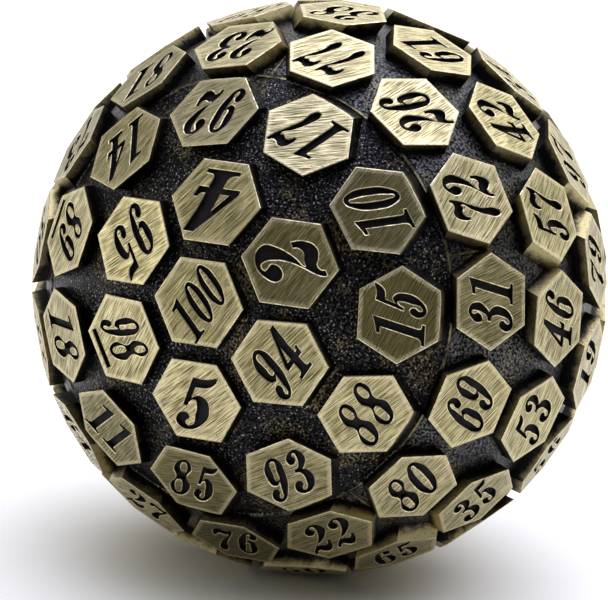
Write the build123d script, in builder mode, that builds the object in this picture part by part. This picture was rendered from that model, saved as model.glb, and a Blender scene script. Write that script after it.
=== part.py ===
"""Hundred-sided die: a hollow ball of two numbered end caps and a numbered belt, with a raised hexagonal face for each number.

Frame: +Z up, origin at the centre of the ball. The ball rests on one hexagonal face, whose outward normal is -Z.
The pole axis runs from the face "1" to the face "100" and leans up towards -Y. Lengths are in millimetres, angles in degrees.
"""

from build123d import *
from math import cos, radians, sin, sqrt
import os

# --- driving dimensions -----------------------------------------------------
face_to_face = 45.0          # across opposite hexagonal faces
hexagon_radius = 3.78        # centre to corner of a face
ground_radius = 21.6         # the cast ball between the faces
cavity_radius = 17.5
row_step = 20.0              # polar angle from one row of faces to the next
pole_lift = 10.0             # the 100 pole stands this far above the horizontal
resting_row = 5
resting_place = 3            # the face it rests on, counted along its row

# faces in a row, and the azimuth of the row's first face; the last five rows are opposite to the first five
northern_rows = [(1, 0.0), (6, 0.0), (11, 60 / 11), (15, 0.0), (17, -120 / 17)]
cap_rows = (0, 1, 2)
belt_rows = (3, 4, 5, 6)

# --- joint between a cap and the belt ---------------------------------------
seam_radius = 16.98
seam_height = sqrt(ground_radius**2 - seam_radius**2)
spigot_radius = 13.6
spigot_bore = 11.6
spigot_length = 2.6
gland_depth = 0.5
gland_width = 0.8
gland_below_seam = 0.95
lug_width = 2.4
lug_height = 0.8
lug_reach = 1.0              # beyond the spigot

# --- walls of the raised faces ----------------------------------------------
root_depth = 2.6             # a face's block is this long, from its top into the wall of the ball
slide_count = 5              # the belt's walls lean with the five side slides of its mould
first_slide = 24.0
belt_wall_polar = {3: 52.0, 4: 80.0, 5: 100.0, 6: 128.0}

face_distance = face_to_face / 2


def row_places(row):
    """The (polar, azimuth) of each face in a row, about the pole axis."""
    count, first = northern_rows[min(row, 9 - row)]
    turn = 0 if row < 5 else 180
    return [(row * row_step, first + turn + place * 360 / count) for place in range(count)]


resting_azimuth = row_places(resting_row)[resting_place][1]
die_frame = Plane(Location((0, 0, 0), (90 - pole_lift, 0, 0)) * Location((0, 0, 0), (0, 0, 270 - resting_azimuth)))
pole = die_frame.z_dir


def direction(polar, azimuth):
    """Unit vector in the part's frame, from angles about the pole axis."""
    p, a = radians(polar), radians(azimuth)
    return die_frame.from_local_coords(Vector(sin(p) * cos(a), sin(p) * sin(a), cos(p)))


def face_plane(polar, azimuth):
    """Plane of a hexagonal face: x runs along the row, y points to the 100 pole."""
    outward = direction(polar, azimuth)
    return Plane(outward * face_distance, x_dir=direction(90, azimuth + 90), z_dir=outward)


def section_plane(end):
    """Half section of the ball: x away from the pole axis, y along it, towards the pole that end (+1 or -1) names."""
    return Plane((0, 0, 0), x_dir=die_frame.x_dir, z_dir=die_frame.x_dir.cross(pole * end))


def slide_azimuth(azimuth):
    """Azimuth in which the mould slide that forms this part of the belt is drawn."""
    pitch = 360 / slide_count
    return first_slide + pitch * round((azimuth - first_slide) / pitch)


def lug_plane(end):
    """Top of the clocking lug, flush with the seam, x pointing away from the pole axis."""
    return Plane(pole * end * seam_height, x_dir=direction(90, 0), z_dir=pole * end)


spigot_end = seam_height - spigot_length
gland_top = seam_height - gland_below_seam
gland_bottom = gland_top - gland_width
pole_line = Axis((0, 0, 0), tuple(pole))
parts = []

# --- end caps and the cured bond ring in each cap's gland ---------------------
for end, cap_name, ring_name in ((1, "hundred_cap", "hundred_bond_ring"), (-1, "one_cap", "one_bond_ring")):
    with BuildPart() as cap:
        for row in cap_rows:
            for polar, azimuth in row_places(row if end > 0 else 9 - row):
                with BuildSketch(face_plane(polar, azimuth)):
                    RegularPolygon(hexagon_radius, 6)
        extrude(amount=root_depth, dir=pole * -end)
        with BuildSketch(Plane(pole * end * seam_height, x_dir=die_frame.x_dir, z_dir=pole * end)):
            Circle(seam_radius)
        extrude(amount=face_to_face, mode=Mode.INTERSECT)
        with BuildSketch(section_plane(end)):
            with BuildLine():
                Polyline(
                    (0, cavity_radius),
                    (0, ground_radius),
                )
                RadiusArc((0, ground_radius), (seam_radius, seam_height), ground_radius)
                Polyline(
                    (seam_radius, seam_height),
                    (spigot_radius, seam_height),
                    (spigot_radius, gland_top),
                    (spigot_radius - gland_depth, gland_top),
                    (spigot_radius - gland_depth, gland_bottom),
                    (spigot_radius, gland_bottom),
                    (spigot_radius, spigot_end),
                    (spigot_bore, spigot_end),
                    (spigot_bore, sqrt(cavity_radius**2 - spigot_bore**2)),
                )
                RadiusArc((spigot_bore, sqrt(cavity_radius**2 - spigot_bore**2)), (0, cavity_radius), -cavity_radius)
            make_face()
        revolve(axis=pole_line)
        with BuildSketch(lug_plane(end)):
            with Locations((spigot_radius, 0)):
                Rectangle(2 * lug_reach, lug_width)
        extrude(amount=-lug_height)
    cap.part.label = cap_name
    parts.append(cap.part)

    with BuildPart() as bond_ring:
        with BuildSketch(section_plane(end)):
            with Locations((spigot_radius - gland_depth / 2, gland_top - gland_width / 2)):
                Rectangle(gland_depth, gland_width)
        revolve(axis=pole_line)
    bond_ring.part.label = ring_name
    parts.append(bond_ring.part)

# --- belt ----------------------------------------------------------------------
with BuildPart() as belt:
    for row in belt_rows:
        for polar, azimuth in row_places(row):
            with BuildSketch(face_plane(polar, azimuth)):
                RegularPolygon(hexagon_radius, 6)
            extrude(amount=root_depth, dir=direction(belt_wall_polar[row], slide_azimuth(azimuth)) * -1)
    Sphere(ground_radius, mode=Mode.SUBTRACT)
    with BuildSketch(section_plane(1)):
        with BuildLine():
            Polyline((spigot_radius, seam_height), (seam_radius, seam_height))
            RadiusArc((seam_radius, seam_height), (seam_radius, -seam_height), ground_radius)
            Polyline(
                (seam_radius, -seam_height),
                (spigot_radius, -seam_height),
                (spigot_radius, -sqrt(cavity_radius**2 - spigot_radius**2)),
            )
            RadiusArc(
                (spigot_radius, -sqrt(cavity_radius**2 - spigot_radius**2)),
                (spigot_radius, sqrt(cavity_radius**2 - spigot_radius**2)),
                -cavity_radius,
            )
            Line((spigot_radius, sqrt(cavity_radius**2 - spigot_radius**2)), (spigot_radius, seam_height))
        make_face()
    revolve(axis=pole_line)
    for end in (1, -1):
        with BuildSketch(lug_plane(end)):
            with Locations((spigot_radius, 0)):
                Rectangle(2 * lug_reach, lug_width)
        extrude(amount=-lug_height, mode=Mode.SUBTRACT)
belt.part.label = "numbered_belt"
parts.append(belt.part)

# --- export --------------------------------------------------------------------
os.makedirs("parts", exist_ok=True)
for part in parts:
    export_step(part, f"parts/{part.label}.step")
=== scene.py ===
"""Looks of the hundred-sided die: cast end caps and a belt, blackened and brushed, with engraved figures.

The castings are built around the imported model's frame. Lengths are in metres, angles in degrees.
"""
import bpy
import bmesh
import random
import numpy as np
from math import asin, atan2, cos, degrees, pi, radians, sin, sqrt
from mathutils import Matrix, Vector


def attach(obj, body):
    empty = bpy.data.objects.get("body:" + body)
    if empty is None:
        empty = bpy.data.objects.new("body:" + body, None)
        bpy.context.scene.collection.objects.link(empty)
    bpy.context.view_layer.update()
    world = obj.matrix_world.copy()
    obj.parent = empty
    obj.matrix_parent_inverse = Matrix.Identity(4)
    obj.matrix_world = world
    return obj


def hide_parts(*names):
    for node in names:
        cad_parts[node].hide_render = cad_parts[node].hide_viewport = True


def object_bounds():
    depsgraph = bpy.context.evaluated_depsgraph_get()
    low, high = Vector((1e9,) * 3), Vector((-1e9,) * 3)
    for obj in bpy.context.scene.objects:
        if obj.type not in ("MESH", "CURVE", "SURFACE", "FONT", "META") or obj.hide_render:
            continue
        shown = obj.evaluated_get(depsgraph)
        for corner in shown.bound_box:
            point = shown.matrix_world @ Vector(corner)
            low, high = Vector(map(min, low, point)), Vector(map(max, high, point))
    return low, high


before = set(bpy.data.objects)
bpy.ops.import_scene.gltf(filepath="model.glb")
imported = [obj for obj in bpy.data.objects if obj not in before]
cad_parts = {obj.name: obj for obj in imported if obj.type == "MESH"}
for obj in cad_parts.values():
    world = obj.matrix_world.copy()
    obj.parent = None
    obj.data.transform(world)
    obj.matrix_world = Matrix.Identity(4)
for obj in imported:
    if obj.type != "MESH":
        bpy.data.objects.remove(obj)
cad_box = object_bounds()

MM = 0.001
RANDOM_SEED = 100

# --- sizes ---------------------------------------------------------------------
ball_low, ball_high = cad_box
FACE_DISTANCE = (ball_high[2] - ball_low[2]) / 2     # ball centre to the top of a face
HEXAGON_RADIUS = 3.78 * MM
GROUND_RADIUS = 21.6 * MM
CAVITY_RADIUS = 17.5 * MM
SEAM_RADIUS = 16.98 * MM
SEAM_HEIGHT = sqrt(GROUND_RADIUS**2 - SEAM_RADIUS**2)
SPIGOT_RADIUS = 13.6 * MM
SPIGOT_BORE = 11.6 * MM
SPIGOT_END = SEAM_HEIGHT - 2.6 * MM
GLAND_TOP = SEAM_HEIGHT - 0.95 * MM
GLAND_BOTTOM = GLAND_TOP - 0.8 * MM
GLAND_DEPTH = 0.5 * MM
LUG_REACH, LUG_WIDTH, LUG_HEIGHT = 1.0 * MM, 2.4 * MM, 0.8 * MM
KEYWAY_PLAY = 0.02 * MM
SEAM_GROOVE = 0.27 * MM           # cut back from the edge of each cap
LIP_HEIGHT = 0.08 * MM            # of the belt, beside each seam
PARTING_WIDTH, PARTING_HEIGHT = 0.16 * MM, 0.07 * MM
PARTING_LENGTH = 0.62 * MM        # of one bar of a parting line
PARTING_THICKNESS = 0.5 * MM      # most of it lies in the ball
BLOCK_DEPTH = 2.6 * MM            # a face's block, from its top into the wall of the ball
RIM_WIDTH = 0.075 * MM
RIM_HEIGHT = 0.035 * MM
FIGURE_DEPTH = 0.42 * MM
ROUND_STEPS = 180                 # sides of a turned body
BALL_STEP, CAVITY_STEP = 1.5, 4   # degrees from point to point of a profile
LIP_START, LIP_END, LIP_FOOT = 0.15, 0.6, 1.1        # degrees from the seam

# --- layout of the faces ----------------------------------------------------------
ROW_STEP = 20.0                                      # polar angle from one row to the next
POLE_LIFT = 10.0                                     # of the hundred's pole, over the horizontal
RESTING_ROW, RESTING_PLACE = 5, 3                    # the face that the die rests on
FIRST_SLIDE, SLIDE_PITCH = 24.0, 72.0                # azimuths of the mould's five side slides
BELT_WALL_POLAR = {3: 52.0, 4: 80.0, 5: 100.0, 6: 128.0}
PARTING_START, PARTING_STEP = 52.6, 1.6              # polar angles of a parting line's bars
PARTING_BARS = 10
# azimuth of the first face of a row; the rows of the other half are opposite
ROW_START = (-60.0, 0.0, 60 / 11, 0.0, -120 / 17)
NUMBERS = (
    (100,),
    (2, 4, 95, 98, 5, 94),
    (10, 17, 92, 14, 89, 18, 11, 85, 93, 88, 15),
    (72, 26, 77, 23, 81, 73, 30, 33, 64, 27, 76, 22, 80, 69, 31),
    (57, 42, 61, 38, 39, 60, 45, 82, 47, 58, 67, 49, 50, 65, 35, 53, 46),
    (44, 59, 40, 63, 62, 41, 56, 19, 79, 97, 34, 52, 51, 36, 66, 48, 55),
    (29, 75, 24, 78, 20, 28, 71, 68, 37, 74, 25, 54, 21, 32, 70),
    (91, 84, 9, 87, 12, 83, 90, 16, 8, 13, 86),
    (99, 43, 6, 3, 96, 7),
    (1,),
)
UNDERLINED = (6, 9, 66, 68, 86, 89, 98, 99)

# --- figures: outlines one unit tall, upright and narrow; points are smooth unless marked as corners --
CORNER = True
SLANT = 0.28
CURVE_STEPS = 5                   # from one point of an outline to the next
FIGURE_PITCH = 0.495
FIGURE_MIDDLE = {
    "0": 0.21, "1": 0.18, "2": 0.195, "3": 0.20, "4": 0.16,
    "5": 0.14, "6": 0.18, "7": 0.185, "8": 0.195, "9": 0.185,
}


def oval(x, y, wide, tall):
    """Smooth points round an upright oval about a middle, with its half width and half height."""
    return tuple((x + wide * cos(k * pi / 4), y + tall * sin(k * pi / 4)) for k in range(8))


FIGURES = {
    "0": (oval(0.21, 0.5, 0.215, 0.505), oval(0.21, 0.5, 0.070, 0.420)),
    "1": (
        (
            (0.0, 0.0, CORNER), (0.38, 0.0, CORNER), (0.38, 0.055, CORNER), (0.295, 0.075),
            (0.27, 0.14, CORNER), (0.27, 1.0, CORNER), (0.22, 0.985, CORNER), (0.09, 0.94),
            (-0.01, 0.92, CORNER), (-0.01, 0.855, CORNER), (0.115, 0.86, CORNER), (0.115, 0.14, CORNER),
            (0.085, 0.075), (0.0, 0.055, CORNER),
        ),
    ),
    "2": (
        (
            (0.0, 0.03), (0.03, 0.14), (0.13, 0.32), (0.205, 0.50), (0.238, 0.70), (0.228, 0.86),
            (0.18, 0.935), (0.13, 0.91), (0.15, 0.84), (0.19, 0.745), (0.11, 0.645), (0.005, 0.75),
            (0.045, 0.91), (0.195, 1.0), (0.40, 0.80), (0.355, 0.56), (0.235, 0.38), (0.125, 0.26),
            (0.19, 0.25), (0.28, 0.21), (0.33, 0.25), (0.345, 0.345, CORNER), (0.405, 0.34, CORNER),
            (0.40, 0.14), (0.31, -0.01), (0.195, 0.03), (0.12, 0.09), (0.07, 0.06), (0.06, -0.01, CORNER),
            (0.005, -0.01, CORNER),
        ),
    ),
    "3": (
        (
            (0.09, 0.695), (0.002, 0.80), (0.05, 0.94), (0.195, 1.005), (0.372, 0.79), (0.32, 0.61),
            (0.255, 0.535, CORNER), (0.355, 0.46), (0.415, 0.28), (0.34, 0.06), (0.185, -0.005),
            (0.04, 0.055), (-0.01, 0.20), (0.075, 0.312), (0.172, 0.215), (0.132, 0.14), (0.142, 0.085),
            (0.19, 0.07), (0.25, 0.27), (0.215, 0.43), (0.155, 0.49), (0.09, 0.50, CORNER),
            (0.09, 0.57, CORNER), (0.16, 0.585), (0.21, 0.69), (0.215, 0.84), (0.18, 0.932),
            (0.135, 0.91), (0.145, 0.86), (0.182, 0.79),
        ),
    ),
    "4": (
        (
            (0.02, 0.0, CORNER), (0.37, 0.0, CORNER), (0.37, 0.065, CORNER), (0.29, 0.085),
            (0.27, 0.14, CORNER), (0.27, 0.285, CORNER), (0.37, 0.285, CORNER), (0.385, 0.45, CORNER),
            (0.345, 0.45, CORNER), (0.32, 0.395), (0.27, 0.38, CORNER), (0.27, 0.60, CORNER),
            (0.30, 1.0, CORNER), (0.195, 1.0, CORNER), (-0.07, 0.37, CORNER), (-0.07, 0.285, CORNER),
            (0.12, 0.285, CORNER), (0.12, 0.14, CORNER), (0.09, 0.085), (0.02, 0.065, CORNER),
        ),
        ((0.02, 0.38, CORNER), (0.12, 0.38, CORNER), (0.12, 0.655, CORNER)),
    ),
    "5": (
        (
            (0.035, 0.965, CORNER), (0.14, 0.952), (0.24, 0.965), (0.295, 1.0, CORNER),
            (0.335, 0.995, CORNER), (0.30, 0.87), (0.23, 0.80), (0.15, 0.79), (0.09, 0.785, CORNER),
            (0.07, 0.58, CORNER), (0.12, 0.625), (0.175, 0.635), (0.31, 0.40), (0.25, 0.08),
            (0.125, -0.01), (-0.005, 0.05), (-0.052, 0.19), (0.02, 0.305), (0.10, 0.215), (0.068, 0.14),
            (0.08, 0.08), (0.125, 0.06), (0.162, 0.29), (0.148, 0.48), (0.11, 0.555), (0.062, 0.51),
            (0.042, 0.43, CORNER), (-0.01, 0.43, CORNER),
        ),
    ),
    "6": (
        (
            (0.205, 1.005), (0.34, 0.95), (0.385, 0.80), (0.305, 0.685), (0.222, 0.775), (0.252, 0.86),
            (0.248, 0.92), (0.212, 0.935), (0.165, 0.72), (0.15, 0.55, CORNER), (0.24, 0.625),
            (0.375, 0.36), (0.315, 0.08), (0.185, -0.005), (0.045, 0.10), (-0.005, 0.38), (0.05, 0.78),
        ),
        ((0.14, 0.32), (0.187, 0.53), (0.23, 0.34), (0.18, 0.072)),
    ),
    "7": (
        (
            (0.0, 0.69, CORNER), (-0.015, 0.83), (0.04, 0.975), (0.125, 1.0), (0.215, 0.945),
            (0.30, 0.94), (0.335, 1.0, CORNER), (0.383, 1.0, CORNER), (0.375, 0.84), (0.31, 0.60),
            (0.25, 0.34), (0.257, 0.08), (0.185, -0.005), (0.108, 0.06), (0.12, 0.30), (0.20, 0.56),
            (0.285, 0.78), (0.235, 0.76), (0.14, 0.805), (0.085, 0.79), (0.05, 0.69, CORNER),
        ),
    ),
    "8": (
        (
            (0.195, 1.005), (0.36, 0.80), (0.29, 0.56), (0.40, 0.28), (0.195, -0.005), (-0.005, 0.22),
            (0.09, 0.49), (0.008, 0.74),
        ),
        ((0.197, 0.935), (0.275, 0.80), (0.222, 0.645), (0.128, 0.775)),
        ((0.157, 0.435), (0.242, 0.235), (0.19, 0.068), (0.088, 0.22)),
    ),
}
# number of figures: height, width against the narrow outlines
FIGURE_SIZES = {1: (4.75 * MM, 1.55), 2: (4.2 * MM, 1.0), 3: (3.42 * MM, 0.98)}
UNDERLINED_SIZE = {1: (4.2 * MM, 1.45), 2: (3.92 * MM, 0.97)}
UNDERLINED_RAISE = 0.12 * MM
SIX_WIDTH = 0.37                  # a 9 is a 6 turned over in this width
# three single figures sit off the middle: right and up in millimetres, and size
PLACED_BY_HAND = {2: (0.12, 0.12, 1.0), 4: (0.34, 0.0, 1.075), 5: (-0.04, -0.2, 0.965)}
BAR_SIZE = (3.2 * MM, 0.42 * MM)
BAR_PLACE = (-0.2 * MM, -2.6 * MM)


def row_azimuths(row):
    """Azimuth of each face of a row, about the pole axis."""
    mirror = min(row, 9 - row)
    count = len(NUMBERS[row])
    turn = 0 if row < 5 else 180
    return [ROW_START[mirror] + turn + place * 360 / count for place in range(count)]


resting_azimuth = row_azimuths(RESTING_ROW)[RESTING_PLACE]
lift_pole = Matrix.Rotation(radians(90 - POLE_LIFT), 3, "X")
DIE_TURN = lift_pole @ Matrix.Rotation(radians(270 - resting_azimuth), 3, "Z")
POLE = DIE_TURN @ Vector((0, 0, 1))


def direction(polar, azimuth):
    """Unit vector in the part's frame, from angles about the pole axis."""
    p, a = radians(polar), radians(azimuth)
    return DIE_TURN @ Vector((sin(p) * cos(a), sin(p) * sin(a), cos(p)))


class Face:
    """One raised hexagonal face: its number, its place and the lean of its walls."""

    def __init__(self, row, place):
        azimuth = row_azimuths(row)[place]
        self.number = NUMBERS[row][place]
        self.row = row
        self.cap = row not in BELT_WALL_POLAR
        self.normal = direction(row * ROW_STEP, azimuth)
        self.across = direction(90, azimuth + 90)
        self.up = self.normal.cross(self.across)
        if row in BELT_WALL_POLAR:
            slide = FIRST_SLIDE + SLIDE_PITCH * round((azimuth - FIRST_SLIDE) / SLIDE_PITCH)
            self.lean = direction(BELT_WALL_POLAR[row], slide)
        else:
            self.lean = POLE * (1 if row < 5 else -1)
        # neighbours along a row are never in one batch, because their roots meet
        last = place == len(NUMBERS[row]) - 1
        self.batch = (row, 2 if last else place % 2)

    def matrix(self, height=0.0):
        """From a face's axes (across, up, outward) to the part's frame, from that height over the face."""
        turn = Matrix((self.across, self.up, self.normal)).transposed().to_4x4()
        return Matrix.Translation(self.normal * (FACE_DISTANCE + height)) @ turn


FACES = [[Face(row, place) for place in range(len(NUMBERS[row]))] for row in range(10)]


# --- modelling helpers ---------------------------------------------------------------
def deselect():
    """Leave edit mode and select nothing."""
    if bpy.context.object and bpy.context.object.mode != "OBJECT":
        bpy.ops.object.mode_set(mode="OBJECT")
    bpy.ops.object.select_all(action="DESELECT")


def pick(obj):
    """Select one object and make it active."""
    deselect()
    obj.select_set(True)
    bpy.context.view_layer.objects.active = obj


def close_up(obj):
    """Merge doubles and point the faces outwards."""
    pick(obj)
    bpy.ops.object.mode_set(mode="EDIT")
    bpy.ops.mesh.select_all(action="SELECT")
    bpy.ops.mesh.remove_doubles(threshold=1e-6)
    bpy.ops.mesh.normals_make_consistent(inside=False)
    bpy.ops.object.mode_set(mode="OBJECT")


def arc(radius, start, end, step):
    """Points (off the pole axis, along it) on a circle about the centre, between two polar angles."""
    count = max(1, round(abs(end - start) / step))
    angles = [radians(start + (end - start) * k / count) for k in range(count + 1)]
    return [(radius * sin(a), radius * cos(a)) for a in angles]


def polar_of(radius, across):
    """Polar angle at which a ball of that radius is that far off the pole axis."""
    return degrees(asin(across / radius))


def turned(name, profile):
    """A closed body turned about the pole axis: one vertex is extruded along a profile and spun."""
    deselect()
    bpy.ops.mesh.primitive_plane_add(size=MM)
    obj = bpy.context.object
    obj.name = obj.data.name = name
    away = DIE_TURN @ Vector((1, 0, 0))
    points = [away * across + POLE * along for across, along in profile]
    bpy.ops.object.mode_set(mode="EDIT")
    bpy.ops.mesh.select_mode(type="VERT")
    bpy.ops.mesh.merge(type="CENTER")
    bpy.ops.transform.translate(value=points[0])
    for before, after in zip(points, points[1:]):
        bpy.ops.mesh.extrude_region_move(TRANSFORM_OT_translate={"value": after - before})
    bpy.ops.mesh.select_all(action="SELECT")
    bpy.ops.mesh.spin(steps=ROUND_STEPS, angle=2 * pi, center=(0, 0, 0), axis=POLE)
    close_up(obj)
    return obj


def boolean(obj, tool, operation):
    """Apply one boolean with the manifold solver, and remove the tool."""
    pick(obj)
    modifier = obj.modifiers.new(operation.lower(), "BOOLEAN")
    modifier.operation = operation
    modifier.solver = "MANIFOLD"
    modifier.object = tool
    bpy.ops.object.modifier_apply(modifier=modifier.name)
    bpy.data.objects.remove(tool)


# --- raised blocks under the faces -----------------------------------------------------
def face_blocks(name, faces):
    """Leaning hexagonal blocks, from the top of each face down into the wall of the ball."""
    deselect()
    bpy.ops.object.add(type="MESH")
    obj = bpy.context.object
    obj.name = obj.data.name = name
    bpy.ops.object.mode_set(mode="EDIT")
    for face in faces:
        bpy.ops.mesh.select_all(action="DESELECT")
        place = face.matrix(-RIM_HEIGHT - BLOCK_DEPTH / 2) @ Matrix.Rotation(radians(30), 4, "Z")
        bpy.ops.mesh.primitive_cylinder_add(
            vertices=6,
            radius=HEXAGON_RADIUS,
            depth=BLOCK_DEPTH,
            location=place.translation,
            rotation=place.to_euler(),
        )
        mesh = bmesh.from_edit_mesh(obj.data)
        root = FACE_DISTANCE - RIM_HEIGHT - BLOCK_DEPTH / 2
        for vert in mesh.verts:
            vert.select = vert.select and vert.co.dot(face.normal) < root
        mesh.select_flush_mode()
        bmesh.update_edit_mesh(obj.data)
        lean = face.normal * BLOCK_DEPTH - face.lean * (BLOCK_DEPTH / face.lean.dot(face.normal))
        bpy.ops.transform.translate(value=lean)
    bpy.ops.object.mode_set(mode="OBJECT")
    return obj


# --- figures ------------------------------------------------------------------------------
def figure_punch(figure):
    """A closed solid of one upright figure, one unit tall, from the engraving's floor to above the face."""
    curve = bpy.data.curves.new("punch_" + figure, "CURVE")
    curve.dimensions = "2D"
    curve.fill_mode = "BOTH"
    curve.resolution_u = CURVE_STEPS
    for outline in FIGURES[figure]:
        spline = curve.splines.new("BEZIER")
        spline.bezier_points.add(len(outline) - 1)
        spline.use_cyclic_u = True
        for knot, point in zip(spline.bezier_points, outline):
            knot.co = (point[0], point[1], 0)
            kind = "VECTOR" if len(point) > 2 else "AUTO"
            knot.handle_left_type = knot.handle_right_type = kind
    curve.extrude = 1.0
    obj = bpy.data.objects.new("punch_" + figure, curve)
    bpy.context.scene.collection.objects.link(obj)
    pick(obj)
    bpy.ops.object.convert(target="MESH")
    close_up(bpy.context.object)
    return bpy.context.object


def bar_punch():
    """The punch for the bar under a number, one unit long and wide."""
    deselect()
    bpy.ops.mesh.primitive_cube_add(size=2)
    bar = bpy.context.object
    bar.name = "punch_bar"
    bar.data.transform(Matrix.Translation((0.5, 0.5, 0)) @ Matrix.Diagonal((0.5, 0.5, 1, 1)))
    return bar


def set_punches(face, punches):
    """Copies of the punches for a face's number, each in its place."""
    text = str(face.number)
    marked = face.number in UNDERLINED
    height, wide = (UNDERLINED_SIZE if marked else FIGURE_SIZES)[len(text)]
    raise_by = UNDERLINED_RAISE if marked else 0.0
    right, up, larger = PLACED_BY_HAND.get(face.number, (0.0, 0.0, 1.0))
    # a punch is two units thick about its own plane, so it reaches as far over the face as under it
    thick = Matrix.Diagonal((1, 1, FIGURE_DEPTH, 1))
    slant = Matrix.Shear("XY", 4, (0, 0))
    slant[0][1] = SLANT
    copies = []
    for index, figure in enumerate(text):
        middle = (index - (len(text) - 1) / 2) * FIGURE_PITCH
        local = (
            Matrix.Translation((right * MM, up * MM + raise_by, 0))
            @ Matrix.Diagonal((height * larger, height * larger, 1, 1))
            @ slant
            @ Matrix.Diagonal((wide, 1, 1, 1))
            @ Matrix.Translation((middle - FIGURE_MIDDLE[figure], -0.5, 0))
            @ thick
        )
        copies.append(punch_copy(punches[figure], face.matrix() @ local))
    if marked:
        corner = (BAR_PLACE[0] - BAR_SIZE[0] / 2, BAR_PLACE[1] - BAR_SIZE[1] / 2, 0)
        local = Matrix.Translation(corner) @ Matrix.Diagonal((*BAR_SIZE, 1, 1)) @ thick
        copies.append(punch_copy(punches["bar"], face.matrix() @ local))
    return copies


def punch_copy(punch, place):
    """A copy of a punch with its own mesh, moved to its place."""
    copy = punch.copy()
    copy.data = punch.data.copy()
    bpy.context.scene.collection.objects.link(copy)
    copy.data.transform(place)
    return copy


def join(objects, name):
    """Make several objects one."""
    deselect()
    for obj in objects:
        obj.select_set(True)
    bpy.context.view_layer.objects.active = objects[0]
    bpy.ops.object.join()
    obj = bpy.context.object
    obj.name = obj.data.name = name
    return obj


# --- surfaces of a casting ---------------------------------------------------------------
GROUND, TOP, RIM, WALL, RECESS = range(5)
BRUSH_STROKE = Vector((0.62, 0.29, 0.73))            # the faces are all brushed about this way
# painted shade: the tops of these faces are darkened towards the tarnish colour by this much, in place of
# the dark surroundings that they reflect
PAINTED_SHADE_FACES = {
    2: 1.0, 10: 1.35, 15: 1.6, 31: 0.95, 57: 0.45, 76: 1.5, 22: 0.5, 85: 1.1, 11: 1.1, 18: 0.4, 65: 0.5,
    100: 0.75, 94: 0.7, 93: 0.65, 69: 0.45, 88: 0.4,
}
APOTHEM = HEXAGON_RADIUS * sqrt(3) / 2
BRUSH_SPREAD = 0.22               # how much the brushing turns from face to face, in radians
DULLING_SPREAD = 0.12             # how much darker one top may be than another
SHIFT_RANGE = 40.0                # keeps the scratches of two faces apart, in millimetres
SMOOTH_ANGLE = 16.0               # edges sharper than this stay sharp, in degrees
LEVEL = 0.999                     # cosine of the tilt that still counts as a face's top
NEAR = 0.01 * MM
FIGURE_MARGIN = 0.2 * MM          # figures stay this far inside the edge of a face
CAP_POLISH = 0.04


def nearest_faces(points, faces):
    """For each point, which face of the die it lies under."""
    normals = np.array([face.normal for face in faces])
    return np.argmax(np.asarray(points) @ normals.T, axis=1)


def sort_surfaces(obj, faces):
    """Give each polygon the finish of its surface: ground, face top, wall or figure."""
    polygons = obj.data.polygons
    owners = nearest_faces([polygon.center for polygon in polygons], faces)
    for polygon, owner in zip(polygons, owners):
        face, centre = faces[owner], polygon.center
        depth = FACE_DISTANCE - RIM_HEIGHT - face.normal.dot(centre)
        x, y = face.across.dot(centre), face.up.dot(centre)
        from_middle = max(abs(y), abs(y) / 2 + abs(x) * sqrt(3) / 2)
        if depth < NEAR and polygon.normal.dot(face.normal) > LEVEL:
            polygon.material_index = TOP
        elif from_middle < APOTHEM - FIGURE_MARGIN and depth < FIGURE_DEPTH - RIM_HEIGHT + 2 * NEAR:
            polygon.material_index = RECESS
        elif centre.length > GROUND_RADIUS + LIP_HEIGHT * 0.8:
            polygon.material_index = WALL
        else:
            polygon.material_index = GROUND


def chamfer_rims(obj):
    """Raise the tops a little inside their edges, so that faces and figures get a narrow worn rim."""
    pick(obj)
    bpy.ops.object.mode_set(mode="EDIT")
    bpy.ops.mesh.select_mode(type="FACE")
    bpy.ops.mesh.select_all(action="DESELECT")
    obj.active_material_index = TOP
    bpy.ops.object.material_slot_select()
    bpy.ops.mesh.quads_convert_to_tris(quad_method="BEAUTY", ngon_method="BEAUTY")
    bpy.ops.mesh.inset(thickness=RIM_WIDTH, depth=RIM_HEIGHT, use_even_offset=False)
    mesh = bmesh.from_edit_mesh(obj.data)
    for polygon in mesh.faces:
        if polygon.material_index == TOP and not polygon.select:
            polygon.material_index = RIM
    bmesh.update_edit_mesh(obj.data)
    bpy.ops.object.mode_set(mode="OBJECT")


def wall_polish(face, outward):
    """How far down a wall the polishing reached, in millimetres: further on the belt's open slopes."""
    if face.cap:
        return CAP_POLISH
    toward_pole = outward.dot(POLE) * (1 if face.row < 5 else -1)
    return min(1.0, 0.05 + 1.3 * max(0.0, face.normal.dot(outward)) + 0.45 * max(0.0, toward_pole - 0.3))


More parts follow.
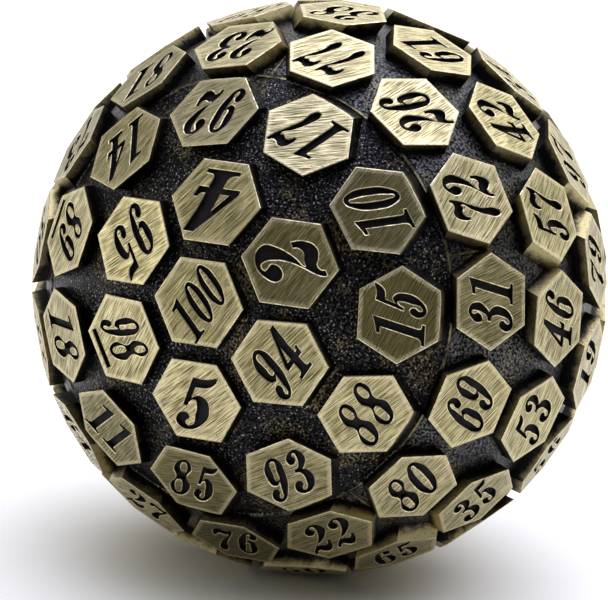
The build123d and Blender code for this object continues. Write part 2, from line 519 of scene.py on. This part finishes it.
def face_coordinates(obj, faces):
    """UV maps in millimetres, along the brushing and from a face's middle, and the surface's attributes."""
    mesh = obj.data
    dice = random.Random(RANDOM_SEED)
    brushing = []
    for face in faces:
        stroke = atan2(BRUSH_STROKE.dot(face.up), BRUSH_STROKE.dot(face.across))
        angle = stroke + dice.gauss(0, BRUSH_SPREAD)
        shift = dice.uniform(0, SHIFT_RANGE)
        # each face's darkening: the painted shade listed above plus a little random dulling
        dulled_and_shaded = PAINTED_SHADE_FACES.get(face.number, 0.0) + dice.uniform(0, DULLING_SPREAD)
        brushing.append((angle, shift, dulled_and_shaded))
    mesh.uv_layers.new(name="brushing")
    mesh.uv_layers.new(name="face_place")
    mesh.attributes.new("face_depth", "FLOAT", "CORNER")
    mesh.attributes.new("face_dulling_and_shade", "FLOAT", "CORNER")
    mesh.attributes.new("wall_polish", "FLOAT", "CORNER")
    uv, middle = mesh.uv_layers["brushing"], mesh.uv_layers["face_place"]
    depth = mesh.attributes["face_depth"]
    dulling_and_shade, polish = mesh.attributes["face_dulling_and_shade"], mesh.attributes["wall_polish"]
    owners = nearest_faces([polygon.center for polygon in mesh.polygons], faces)
    for polygon, owner in zip(mesh.polygons, owners):
        face = faces[owner]
        angle, shift, shade = brushing[owner]
        polished = wall_polish(face, polygon.normal)
        for corner in polygon.loop_indices:
            place = mesh.vertices[mesh.loops[corner].vertex_index].co / MM
            x, y = face.across.dot(place), face.up.dot(place)
            along = x * cos(angle) + y * sin(angle)
            aside = y * cos(angle) - x * sin(angle)
            uv.data[corner].uv = (along + shift, aside + shift)
            middle.data[corner].uv = (x, y)
            depth.data[corner].value = FACE_DISTANCE / MM - face.normal.dot(place)
            dulling_and_shade.data[corner].value = shade
            polish.data[corner].value = polished


# --- materials ---------------------------------------------------------------------------
class Finish:
    """A node tree being wired: short calls that add a node, set its values and link its inputs."""

    def __init__(self, tree):
        self.tree = tree

    def node(self, kind, values=None, links=None, **settings):
        """Add a node; values and links are given by socket."""
        node = self.tree.nodes.new(kind)
        for name, value in settings.items():
            setattr(node, name, value)
        for name, value in (values or {}).items():
            node.inputs[name].default_value = value
        for name, source in (links or {}).items():
            self.tree.links.new(source, node.inputs[name])
        return node

    def math(self, operation, first, second):
        """One sum; each side is a number or an output."""
        node = self.tree.nodes.new("ShaderNodeMath")
        node.operation = operation
        for socket, value in zip(node.inputs, (first, second)):
            if isinstance(value, (int, float)):
                socket.default_value = value
            else:
                self.tree.links.new(value, socket)
        return node.outputs[0]

    def ramp(self, source, low, high, to_low=0.0, to_high=1.0):
        """A smooth step from one range to another."""
        node = self.node(
            "ShaderNodeMapRange",
            {"From Min": low, "From Max": high, "To Min": to_low, "To Max": to_high},
            {"Value": source},
            interpolation_type="SMOOTHSTEP",
        )
        return node.outputs["Result"]

    def blend(self, factor, first, second):
        """Mix two colours; each is a colour or an output."""
        node = self.node("ShaderNodeMix", data_type="RGBA")
        sockets = {"Factor": factor, "A": first, "B": second}
        for name, value in sockets.items():
            socket = next(s for s in node.inputs if s.name == name and s.enabled)
            if isinstance(value, (int, float)):
                socket.default_value = value
            elif isinstance(value, tuple):
                socket.default_value = (*value, 1.0)
            else:
                self.tree.links.new(value, socket)
        return next(s for s in node.outputs if s.enabled)

    def group(self, tree, **values):
        """Place a shared effect, with this material's own values."""
        node = self.tree.nodes.new("ShaderNodeGroup")
        node.node_tree = tree
        for name, value in values.items():
            socket = node.inputs[name.replace("_", " ")]
            if isinstance(value, (int, float)):
                socket.default_value = value
            else:
                self.tree.links.new(value, socket)
        return node


def effect(name, inputs, outputs):
    """A new node group with named float sockets; gives back its wiring and its two ends."""
    tree = bpy.data.node_groups.new(name, "ShaderNodeTree")
    for socket, value in inputs.items():
        given = tree.interface.new_socket(socket, in_out="INPUT", socket_type="NodeSocketFloat")
        given.default_value = value
    for socket in outputs:
        tree.interface.new_socket(socket, in_out="OUTPUT", socket_type="NodeSocketFloat")
    wiring = Finish(tree)
    start, end = tree.nodes.new("NodeGroupInput"), tree.nodes.new("NodeGroupOutput")
    return wiring, start.outputs, end.inputs


def brushing_effect():
    """Straight scratches, crossing strokes and broad streaks, with a rubbed edge that is partly a painted
    highlight, and ragged pits.
    """
    f, given, out = effect("brush_marks", {"Pits": 0.5}, ("Lines", "Streaks", "Edge Wear And Highlight", "Pit Mask"))
    uv = f.node("ShaderNodeUVMap", uv_map="brushing").outputs["UV"]

    def strokes(angle, along, across, seed, detail):
        place = f.node(
            "ShaderNodeMapping",
            {"Rotation": (0, 0, angle), "Scale": (along, across, 1), "Location": (seed, seed, seed)},
            {"Vector": uv},
        ).outputs["Vector"]
        values = {"Scale": 1.0, "Detail": detail, "Roughness": 0.65}
        return f.node("ShaderNodeTexNoise", values, {"Vector": place}).outputs["Fac"]

    fine = strokes(0.0, 0.45, 13.0, 0.0, 0.0)
    second = strokes(0.13, 0.4, 9.0, 13.0, 0.0)
    crossing = strokes(1.38, 0.6, 11.0, 29.0, 0.0)
    lines = f.math("ADD", f.ramp(fine, 0.43, 0.57), f.math("MULTIPLY", f.ramp(second, 0.44, 0.58), 0.6))
    lines = f.math("ADD", lines, f.math("MULTIPLY", f.ramp(crossing, 0.44, 0.58), 0.95))
    f.tree.links.new(f.math("MULTIPLY", lines, 0.425), out["Lines"])
    f.tree.links.new(f.ramp(strokes(0.05, 0.35, 2.6, 41.0, 2.0), 0.32, 0.68), out["Streaks"])
    ragged = f.node("ShaderNodeTexNoise", {"Scale": 6.0, "Detail": 3.0}, {"Vector": uv}).outputs["Fac"]
    place = f.node("ShaderNodeUVMap", uv_map="face_place").outputs["UV"]
    flat = f.node("ShaderNodeVectorMath", links={0: place}, operation="ABSOLUTE").outputs["Vector"]
    x, y = f.node("ShaderNodeSeparateXYZ", links={"Vector": flat}).outputs[:2]
    corner_side = f.math("ADD", f.math("MULTIPLY", x, sqrt(3) / 2), f.math("MULTIPLY", y, 0.5))
    from_edge = f.math("SUBTRACT", APOTHEM / MM, f.math("MAXIMUM", y, corner_side))
    wandering = f.math("ADD", from_edge, f.math("MULTIPLY", ragged, -0.35))
    # the band along the edge is rubbed brass and partly a painted highlight
    f.tree.links.new(f.ramp(wandering, 0.27, 0.0), out["Edge Wear And Highlight"])
    pits = f.node("ShaderNodeTexVoronoi", {"Scale": 2.4, "Randomness": 1.0}, {"Vector": uv})
    where = f.node("ShaderNodeTexNoise", {"Scale": 0.5, "Detail": 1.0}, {"Vector": uv}).outputs["Fac"]
    spared = f.math("ADD", f.ramp(where, 0.35, 0.65, 0.0, 0.14), f.ramp(from_edge, 0.3, 1.4, 0.0, 0.05))
    edge = f.math("ADD", f.math("MULTIPLY", ragged, 0.5), spared)
    hole = f.ramp(f.math("ADD", pits.outputs["Distance"], edge), 0.38, 0.29)
    f.tree.links.new(f.math("MULTIPLY", hole, given["Pits"]), out["Pit Mask"])
    return f.tree


def grain_effect():
    """Cast pebbled grain on millimetre coordinates, with larger soft swells under it."""
    f, given, out = effect("cast_grain", {"Grain Size": 0.3}, ("Grain", "Swell"))
    place = f.node("ShaderNodeTexCoord").outputs["Object"]
    size = f.math("DIVIDE", 1000.0, given["Grain Size"])
    links = {"Vector": place, "Scale": size}
    pebbles = f.node("ShaderNodeTexVoronoi", {"Randomness": 1.0}, links, feature="SMOOTH_F1")
    fine = f.node("ShaderNodeTexNoise", {"Detail": 3.0, "Roughness": 0.6}, links)
    both = f.math("ADD", f.math("MULTIPLY", pebbles.outputs["Distance"], -0.6), fine.outputs["Fac"])
    f.tree.links.new(both, out["Grain"])
    swell = f.node("ShaderNodeTexNoise", {"Scale": 700.0, "Detail": 2.0}, {"Vector": place})
    f.tree.links.new(swell.outputs["Fac"], out["Swell"])
    return f.tree


def patina_effect():
    """Soft uneven tarnish: a mask of clouds, and a mask of small specks."""
    f, given, out = effect("patina", {"Cloud Size": 3.0, "Amount": 0.5}, ("Clouds", "Specks"))
    place = f.node("ShaderNodeTexCoord").outputs["Object"]
    size = f.math("DIVIDE", 1000.0, given["Cloud Size"])
    values = {"Detail": 5.0, "Roughness": 0.6, "Distortion": 0.6}
    clouds = f.node("ShaderNodeTexNoise", values, {"Vector": place, "Scale": size})
    soft = f.ramp(clouds.outputs["Fac"], 0.35, 0.70)
    f.tree.links.new(f.math("MULTIPLY", soft, given["Amount"]), out["Clouds"])
    specks = f.node("ShaderNodeTexNoise", {"Scale": 4500.0, "Detail": 3.0}, {"Vector": place})
    f.tree.links.new(f.ramp(specks.outputs["Fac"], 0.56, 0.70), out["Specks"])
    return f.tree


BRASS = (0.13, 0.098, 0.028)
PALE_BRASS = (1.0, 0.875, 0.475)
# pale rubbed brass, also used to paint a highlight along the edges of the face tops
RUBBED_AND_HIGHLIGHT_BRASS = (0.95, 0.84, 0.49)
# a tarnish colour, also used to paint shade on the darker faces
TARNISH_AND_SHADE = (0.11, 0.094, 0.022)
CAVITY_BLACK = (0.006, 0.006, 0.006)
BLACKENED = (0.034, 0.033, 0.031)
BRIGHT_GRIT = (0.46, 0.45, 0.41)
# the belt came out smoother and a little lighter than the caps
STEEL_BLACK = (0.095, 0.094, 0.088)
STEEL_GRIT = (0.24, 0.235, 0.21)
RUBBED_GROUND = (0.36, 0.29, 0.13)
WALL_BRASS = (0.50, 0.42, 0.20)
WALL_BLACK = (0.018, 0.017, 0.016)
FIGURE_SOOT = (0.006, 0.006, 0.006)
FIGURE_DUST = (0.022, 0.019, 0.015)
BOND_GREY = (0.16, 0.15, 0.13)
BOND_DARK = (0.09, 0.085, 0.075)
brush_marks = brushing_effect()
cast_grain = grain_effect()
patina = patina_effect()


def finish(name, **values):
    """A material with one Principled shader, on which its uniform values are set."""
    material = bpy.data.materials.new(name)
    material.use_nodes = True
    wiring = Finish(material.node_tree)
    shader = material.node_tree.nodes["Principled BSDF"]
    for socket, value in values.items():
        shader.inputs[socket.replace("_", " ")].default_value = value
    return material, wiring, shader


def feed(wiring, shader, **sources):
    """Link outputs to the shader's sockets."""
    for socket, source in sources.items():
        wiring.tree.links.new(source, shader.inputs[socket.replace("_", " ")])


def bump(wiring, height, strength, distance, under=None):
    """A bumped normal, on top of another one if given; distance in metres."""
    links = {"Height": height}
    if under:
        links["Normal"] = under
    values = {"Strength": strength, "Distance": distance}
    return wiring.node("ShaderNodeBump", values, links).outputs["Normal"]


def brushed_face():
    """Top of a face: brushed brass with fine scratches, streaks, a few pits and a breath of tarnish; some
    whole faces are darkened with painted shade, and the rubbed edge is partly a painted highlight.
    """
    material, f, shader = finish("brushed_face", Metallic=1.0)
    marks = f.group(brush_marks, Pits=0.9).outputs
    clouds = f.group(patina, Cloud_Size=2.2, Amount=0.38).outputs
    dulled_and_shaded = f.node("ShaderNodeAttribute", attribute_name="face_dulling_and_shade").outputs["Fac"]
    streaks = f.math("MULTIPLY", marks["Streaks"], 0.12)
    shine = f.math("ADD", f.math("MULTIPLY", marks["Lines"], 0.98), streaks)
    colour = f.blend(shine, BRASS, PALE_BRASS)
    # painted shade: whole tops darkened towards the tarnish colour, together with a little random dulling
    colour = f.blend(f.math("MULTIPLY", dulled_and_shaded, 0.5), colour, TARNISH_AND_SHADE)
    colour = f.blend(clouds["Clouds"], colour, TARNISH_AND_SHADE)
    # rubbed edge, partly a painted highlight: the top is lightened towards pale brass near its rim
    colour = f.blend(f.math("MULTIPLY", marks["Edge Wear And Highlight"], 0.52), colour, RUBBED_AND_HIGHLIGHT_BRASS)
    colour = f.blend(marks["Pit Mask"], colour, BLACKENED)
    pitted = f.math("MULTIPLY", marks["Pit Mask"], 0.3)
    rough = f.math("ADD", f.ramp(shine, 0.1, 0.9, 0.46, 0.27), pitted)
    normal = bump(f, marks["Lines"], 0.6, 0.00003)
    normal = bump(f, f.math("MULTIPLY", marks["Pit Mask"], -1.0), 0.6, 0.00006, normal)
    feed(f, shader, Base_Color=colour, Roughness=rough, Normal=normal)
    return material


def worn_rim():
    """Edges rubbed bright along the faces and figures, broken by small dark nicks."""
    material, f, shader = finish("worn_rim", Metallic=1.0)
    clouds = f.group(patina, Cloud_Size=0.7, Amount=0.55).outputs
    colour = f.blend(clouds["Clouds"], RUBBED_AND_HIGHLIGHT_BRASS, BRASS)
    colour = f.blend(f.math("MULTIPLY", clouds["Specks"], 0.6), colour, BLACKENED)
    grain = f.group(cast_grain, Grain_Size=0.12).outputs
    feed(f, shader, Base_Color=colour, Roughness=f.ramp(clouds["Clouds"], 0, 0.55, 0.30, 0.5))
    feed(f, shader, Normal=bump(f, grain["Grain"], 0.4, 0.00002))
    return material


def side_wall():
    """Wall of a raised face: brass near the rim or as far down as it is polished, and black below."""
    material, f, shader = finish("side_wall", Metallic=1.0)
    depth = f.node("ShaderNodeAttribute", attribute_name="face_depth").outputs["Fac"]
    polish = f.node("ShaderNodeAttribute", attribute_name="wall_polish").outputs["Fac"]
    clouds = f.group(patina, Cloud_Size=1.1, Amount=1.0).outputs
    grain = f.group(cast_grain, Grain_Size=0.16).outputs
    uneven = f.math("ADD", depth, f.math("MULTIPLY", clouds["Clouds"], 0.35))
    uneven = f.math("ADD", uneven, f.math("MULTIPLY", f.math("SUBTRACT", grain["Grain"], 0.25), 0.22))
    dark = f.ramp(f.math("SUBTRACT", uneven, polish), -0.1, 0.7)
    brass = f.blend(f.math("MULTIPLY", clouds["Specks"], 0.7), WALL_BRASS, TARNISH_AND_SHADE)
    colour = f.blend(dark, brass, WALL_BLACK)
    feed(f, shader, Base_Color=colour, Roughness=f.ramp(dark, 0, 1, 0.34, 0.46))
    feed(f, shader, Normal=bump(f, grain["Grain"], 0.6, 0.00004))
    return material


def blackened_ground(name, black, grit, relief, rubbed_most):
    """The cast ball between the faces: black, pebbled, with bright grit, rubbed to brown gold in places."""
    material, f, shader = finish(name, Metallic=1.0)
    grain = f.group(cast_grain, Grain_Size=0.18).outputs
    clouds = f.group(patina, Cloud_Size=2.8, Amount=1.0).outputs
    colour = f.blend(f.ramp(grain["Grain"], 0.14, 0.33), CAVITY_BLACK, black)
    colour = f.blend(f.ramp(grain["Grain"], 0.38, 0.53), colour, grit)
    rubbed = f.math("MULTIPLY", f.ramp(clouds["Clouds"], 0.40, 0.95), f.ramp(grain["Grain"], 0.12, 0.42))
    colour = f.blend(f.math("MULTIPLY", rubbed, rubbed_most), colour, RUBBED_GROUND)
    feed(f, shader, Base_Color=colour, Roughness=f.ramp(grain["Swell"], 0.3, 0.7, 0.26, 0.38))
    feed(f, shader, Normal=bump(f, grain["Grain"], 1.0, relief))
    return material


def figure_black():
    """Floor and sides of an engraved figure, filled with black patina."""
    material, f, shader = finish("figure_black", Metallic=0.0, Specular_IOR_Level=0.2)
    grain = f.group(cast_grain, Grain_Size=0.2).outputs
    clouds = f.group(patina, Cloud_Size=0.7, Amount=0.6).outputs
    colour = f.blend(clouds["Clouds"], FIGURE_SOOT, FIGURE_DUST)
    feed(f, shader, Base_Color=colour, Roughness=f.ramp(grain["Swell"], 0.3, 0.7, 0.5, 0.7))
    feed(f, shader, Normal=bump(f, grain["Grain"], 0.6, 0.00006))
    return material


def cured_bond():
    """The adhesive ring in a cap's gland: dull grey, faintly mottled."""
    material, f, shader = finish("cured_bond", Metallic=0.0)
    grain = f.group(cast_grain, Grain_Size=0.5).outputs
    clouds = f.group(patina, Cloud_Size=1.5, Amount=0.8).outputs
    colour = f.blend(clouds["Clouds"], BOND_GREY, BOND_DARK)
    feed(f, shader, Base_Color=colour, Roughness=f.ramp(clouds["Specks"], 0, 1, 0.45, 0.62))
    feed(f, shader, Normal=bump(f, grain["Swell"], 0.3, 0.0001))
    return material


CAP_GROUND = blackened_ground("cap_ground", BLACKENED, BRIGHT_GRIT, 0.00009, 0.45)
BELT_GROUND = blackened_ground("belt_ground", STEEL_BLACK, STEEL_GRIT, 0.00005, 0.35)
FACE_FINISHES = [brushed_face(), worn_rim(), side_wall(), figure_black()]


# --- the castings ------------------------------------------------------------------------
def cap_profile():
    """Half section of an end cap, from the top of the ball round the spigot to the hollow's top."""
    edge = polar_of(GROUND_RADIUS, SEAM_RADIUS - SEAM_GROOVE)
    bore_top = sqrt(CAVITY_RADIUS**2 - SPIGOT_BORE**2)
    return [
        *arc(GROUND_RADIUS, 0, edge, BALL_STEP),
        (SEAM_RADIUS - SEAM_GROOVE / 3, SEAM_HEIGHT + SEAM_GROOVE / 3),
        (SEAM_RADIUS - SEAM_GROOVE, SEAM_HEIGHT),
        (SPIGOT_RADIUS, SEAM_HEIGHT),
        (SPIGOT_RADIUS, GLAND_TOP),
        (SPIGOT_RADIUS - GLAND_DEPTH, GLAND_TOP),
        (SPIGOT_RADIUS - GLAND_DEPTH, GLAND_BOTTOM),
        (SPIGOT_RADIUS, GLAND_BOTTOM),
        (SPIGOT_RADIUS, SPIGOT_END),
        (SPIGOT_BORE, SPIGOT_END),
        (SPIGOT_BORE, bore_top),
        *arc(CAVITY_RADIUS, polar_of(CAVITY_RADIUS, SPIGOT_BORE), 0, CAVITY_STEP)[1:],
    ]


def belt_profile():
    """Half section of the belt, closed, with a fine raised lip beside each seam."""
    lip = polar_of(GROUND_RADIUS, SEAM_RADIUS)
    inner = polar_of(CAVITY_RADIUS, SPIGOT_RADIUS)
    edge = SEAM_RADIUS - SEAM_GROOVE
    lip_radius = GROUND_RADIUS + LIP_HEIGHT
    upper = [
        (SPIGOT_RADIUS, SEAM_HEIGHT),
        (edge, SEAM_HEIGHT),
        *arc(lip_radius, lip + LIP_START, lip + LIP_END, LIP_END - LIP_START),
    ]
    lower = [(across, -along) for across, along in reversed(upper)]
    outside = arc(GROUND_RADIUS, lip + LIP_FOOT, 180 - lip - LIP_FOOT, BALL_STEP)
    inside = arc(CAVITY_RADIUS, 180 - inner, inner, CAVITY_STEP)
    return [*upper, *outside, *lower, *inside, upper[0]]


def lug(end, grow):
    """The block that clocks a cap in the belt, or with some growth the keyway for it."""
    deselect()
    bpy.ops.mesh.primitive_cube_add(size=1)
    obj = bpy.context.object
    size = (2 * LUG_REACH + grow, LUG_WIDTH + 2 * grow, LUG_HEIGHT + 2 * grow)
    outward = direction(90, 0)
    turn = Matrix((outward, (POLE * end).cross(outward), POLE * end)).transposed().to_4x4()
    middle = outward * SPIGOT_RADIUS + POLE * end * (SEAM_HEIGHT - LUG_HEIGHT / 2)
    obj.data.transform(Matrix.Translation(middle) @ turn @ Matrix.Diagonal((*size, 1)))
    return obj


def cap_envelope(end):
    """The drum that the faces of a cap stay in, standing on the seam."""
    deselect()
    bpy.ops.mesh.primitive_cylinder_add(vertices=ROUND_STEPS, radius=SEAM_RADIUS, depth=FACE_DISTANCE)
    obj = bpy.context.object
    turn = DIE_TURN.to_4x4()
    middle = POLE * end * (SEAM_HEIGHT + FACE_DISTANCE / 2)
    obj.data.transform(Matrix.Translation(middle) @ turn)
    return obj


def add_faces(casting, faces, punches, end=0):
    """Unite the raised faces with a casting, engrave their numbers and give every surface its finish."""
    batches = sorted({face.batch for face in faces})
    for batch in batches:
        blocks = face_blocks("blocks", [face for face in faces if face.batch == batch])
        if end:
            boolean(blocks, cap_envelope(end), "INTERSECT")
        boolean(casting, blocks, "UNION")
    engraving = join([copy for face in faces for copy in set_punches(face, punches)], "engraving")
    boolean(casting, engraving, "DIFFERENCE")
    casting.data.materials.clear()
    for material in [CAP_GROUND if end else BELT_GROUND, *FACE_FINISHES]:
        casting.data.materials.append(material)
    sort_surfaces(casting, faces)
    chamfer_rims(casting)
    face_coordinates(casting, faces)
    pick(casting)
    bpy.ops.object.shade_smooth_by_angle(angle=radians(SMOOTH_ANGLE))


def end_cap(name, end, rows, punches):
    """One end cap with its lug, its faces and their numbers."""
    cap = turned(name, [(across, along * end) for across, along in cap_profile()])
    boolean(cap, lug(end, 0.0), "UNION")
    add_faces(cap, [face for row in rows for face in FACES[row]], punches, end)
    return cap


def parting_lines(half):
    """Every other one of the short bars that follow the mould's five parting lines; half is 0 or 1."""
    bars = []
    for azimuth in (FIRST_SLIDE + SLIDE_PITCH * (k + 0.5) for k in range(5)):
        for step in range(half, PARTING_BARS, 2):
            polar = PARTING_START + PARTING_STEP * step
            outward = direction(polar, azimuth)
            along = direction(polar + 90, azimuth)
            turn = Matrix((along, outward.cross(along), outward)).transposed().to_4x4()
            deselect()
            bpy.ops.mesh.primitive_cube_add(size=1)
            bar = bpy.context.object
            size = Matrix.Diagonal((PARTING_LENGTH, PARTING_WIDTH, PARTING_THICKNESS, 1))
            middle = outward * (GROUND_RADIUS + PARTING_HEIGHT - PARTING_THICKNESS / 2)
            bar.data.transform(Matrix.Translation(middle) @ turn @ size)
            bars.append(bar)
    return join(bars, "parting_lines")


def belt(name, punches):
    """The belt with its parting lines, keyways, faces and their numbers."""
    band = turned(name, belt_profile())
    for half in (0, 1):
        boolean(band, parting_lines(half), "UNION")
    for end in (1, -1):
        boolean(band, lug(end, KEYWAY_PLAY), "DIFFERENCE")
    add_faces(band, [face for row in (3, 4, 5, 6) for face in FACES[row]], punches)
    return band


punches = {figure: figure_punch(figure) for figure in FIGURES}
half_turn = Matrix.Translation((SIX_WIDTH, 1, 0)) @ Matrix.Rotation(pi, 4, "Z")
punches["9"] = punch_copy(punches["6"], half_turn)
punches["bar"] = bar_punch()
castings = {
    "hundred_cap": end_cap("hundred_cap_casting", 1, (0, 1, 2), punches),
    "one_cap": end_cap("one_cap_casting", -1, (9, 8, 7), punches),
    "numbered_belt": belt("belt_casting", punches),
}
for punch in punches.values():
    bpy.data.objects.remove(punch)
for node, casting in castings.items():
    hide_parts(node)
    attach(casting, "root")
for node in ("hundred_bond_ring", "one_bond_ring"):
    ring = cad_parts[node]
    ring.data.materials.clear()
    ring.data.materials.append(cured_bond())

# --- floor, lights and camera ---------------------------------------------------------------
PAPER_GLOW = 0.15                 # light that the paper gives off, away from the die
PAPER_LIFT = 0.36                 # more of it in the picture only
GLOW_REACH = (19 * MM, 50 * MM)   # from the point of contact, where it starts and where it is full
LIFT_REACH = (8 * MM, 27 * MM)
FLOOR_SIZE = 4.0
deselect()
bpy.ops.mesh.primitive_plane_add(size=FLOOR_SIZE, location=(0, 0, -FACE_DISTANCE))
floor = bpy.context.object
floor.name = "floor"
floor_material, wiring, shader = finish(
    "white_paper",
    Base_Color=(0.86, 0.845, 0.765, 1.0),
    Roughness=0.9,
    Emission_Color=(1.0, 1.0, 1.0, 1.0),
)
place = wiring.node("ShaderNodeTexCoord").outputs["Object"]
from_contact = wiring.node("ShaderNodeVectorMath", links={0: place}, operation="LENGTH").outputs["Value"]
seen = wiring.node("ShaderNodeLightPath").outputs["Is Camera Ray"]
lift = wiring.math("MULTIPLY", wiring.ramp(from_contact, *LIFT_REACH, 0.0, PAPER_LIFT), seen)
paper_glow = wiring.ramp(from_contact, *GLOW_REACH, 0.0, PAPER_GLOW)
feed(wiring, shader, Emission_Strength=wiring.math("ADD", lift, paper_glow))
floor.data.materials.append(floor_material)


def studio_light(glows):
    """A dim room with soft glows, each at an azimuth from the front and a height over the horizon."""
    world = bpy.data.worlds.new("studio")
    bpy.context.scene.world = world
    world.use_nodes = True
    f = Finish(world.node_tree)
    toward = f.node("ShaderNodeTexCoord").outputs["Generated"]
    total = None
    for azimuth, height, inner, outer, strength, colour in glows:
        a, h = radians(azimuth), radians(height)
        axis = (cos(h) * sin(a), -cos(h) * cos(a), sin(h))
        facing = f.node("ShaderNodeVectorMath", {1: axis}, {0: toward}, operation="DOT_PRODUCT")
        glow = f.ramp(facing.outputs["Value"], cos(radians(outer)), cos(radians(inner)), 0.0, strength)
        links = {0: glow, 2: total} if total else {0: glow}
        values = {1: colour} if total else {1: colour, 2: ROOM_DIMNESS}
        total = f.node("ShaderNodeVectorMath", values, links, operation="MULTIPLY_ADD").outputs["Vector"]
    f.tree.links.new(total, f.tree.nodes["Background"].inputs["Color"])


WHITE = (1.0, 1.0, 1.0)
COOL = (0.96, 1.0, 1.38)
ROOM_DIMNESS = (0.07, 0.07, 0.072)
# azimuth, height, angle of the full glow, angle where it ends, strength, colour
studio_light([
    (170, 76, 26, 47, 1.62, COOL),
    (-172, 22, 18, 60, 1.05, WHITE),
    (120, 36, 5, 30, 0.55, WHITE),
    (140, 10, 5, 30, 0.25, WHITE),
    (-64, 4, 12, 40, 1.2, WHITE),
    (-32, 38, 8, 32, 0.42, WHITE),
])

CAMERA_LENS = 428.9
CAMERA_PLACE = (0.2260, -0.5019, 0.1616)
CAMERA_FORWARD = (-0.39554, 0.87358, -0.28356)
CAMERA_UPWARD = (-0.19397, 0.22232, 0.95548)
camera_data = bpy.data.cameras.new("camera")
camera_data.lens = CAMERA_LENS
camera_data.sensor_width = 36.0
camera_data.clip_start = 0.05
camera_data.clip_end = 20.0
camera = bpy.data.objects.new("camera", camera_data)
bpy.context.scene.collection.objects.link(camera)
forward = Vector(CAMERA_FORWARD).normalized()
upward = Vector(CAMERA_UPWARD).normalized()
sideways = forward.cross(upward).normalized()
camera_turn = Matrix((sideways, sideways.cross(forward), -forward)).transposed().to_4x4()
camera.matrix_world = Matrix.Translation(CAMERA_PLACE) @ camera_turn
bpy.context.scene.camera = camera
bpy.context.scene.view_settings.view_transform = "Standard"
